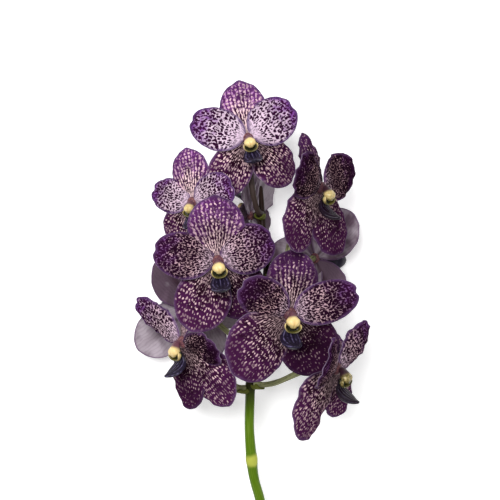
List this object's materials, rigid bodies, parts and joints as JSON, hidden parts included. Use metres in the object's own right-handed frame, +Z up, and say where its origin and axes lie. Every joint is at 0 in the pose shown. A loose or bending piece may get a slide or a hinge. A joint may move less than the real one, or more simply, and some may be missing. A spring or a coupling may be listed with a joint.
{
  "type": "cut vanda orchid stem",
  "caption": "Cut flowering stem of a vanda orchid, lying down, with mottled violet blooms crowded round its upper half.",
  "frame": {"origin": "middle of the underside of the whole stem's box, on the surface that it lies on", "axes": "+Z up from the surface; the stem runs along Y, from its cut end at -Y to its tip at +Y; the front blooms look up"},
  "size_m": [0.1682, 0.3721, 0.1259],
  "materials": {
    "vanda_blades": "waxy petal: dark violet blotches on a pale net, plain violet rim, grey-violet reverse",
    "vanda_lip": "waxy blue-violet, almost black, ridged lengthwise",
    "vanda_column": "waxy cream-yellow, greenish in the throat",
    "vanda_stalk": "matt olive green with a purple flush, ribbed lengthwise",
    "vanda_stem": "smooth mid green, darker towards the tip, yellow ring scar at the node"
  },
  "bodies": {
    "root": {"stem": "vanda_stem", "bloom_01_blades": "vanda_blades", "bloom_01_column": "vanda_column", "bloom_01_lip": "vanda_lip", "bloom_01_stalk": "vanda_stalk", "bloom_02_blades": "vanda_blades", "bloom_02_column": "vanda_column", "bloom_02_lip": "vanda_lip", "bloom_02_stalk": "vanda_stalk", "bloom_03_blades": "vanda_blades", "bloom_03_column": "vanda_column", "bloom_03_lip": "vanda_lip", "bloom_03_stalk": "vanda_stalk", "bloom_04_blades": "vanda_blades", "bloom_04_column": "vanda_column", "bloom_04_lip": "vanda_lip", "bloom_04_stalk": "vanda_stalk", "bloom_05_blades": "vanda_blades", "bloom_05_column": "vanda_column", "bloom_05_lip": "vanda_lip", "bloom_05_stalk": "vanda_stalk", "bloom_06_blades": "vanda_blades", "bloom_06_column": "vanda_column", "bloom_06_lip": "vanda_lip", "bloom_06_stalk": "vanda_stalk", "bloom_07_blades": "vanda_blades", "bloom_07_column": "vanda_column", "bloom_07_lip": "vanda_lip", "bloom_07_stalk": "vanda_stalk", "bloom_08_blades": "vanda_blades", "bloom_08_column": "vanda_column", "bloom_08_lip": "vanda_lip", "bloom_08_stalk": "vanda_stalk", "bloom_09_blades": "vanda_blades", "bloom_09_column": "vanda_column", "bloom_09_lip": "vanda_lip", "bloom_09_stalk": "vanda_stalk", "bloom_10_blades": "vanda_blades", "bloom_10_column": "vanda_column", "bloom_10_lip": "vanda_lip", "bloom_10_stalk": "vanda_stalk"}
  },
  "joints": []
}
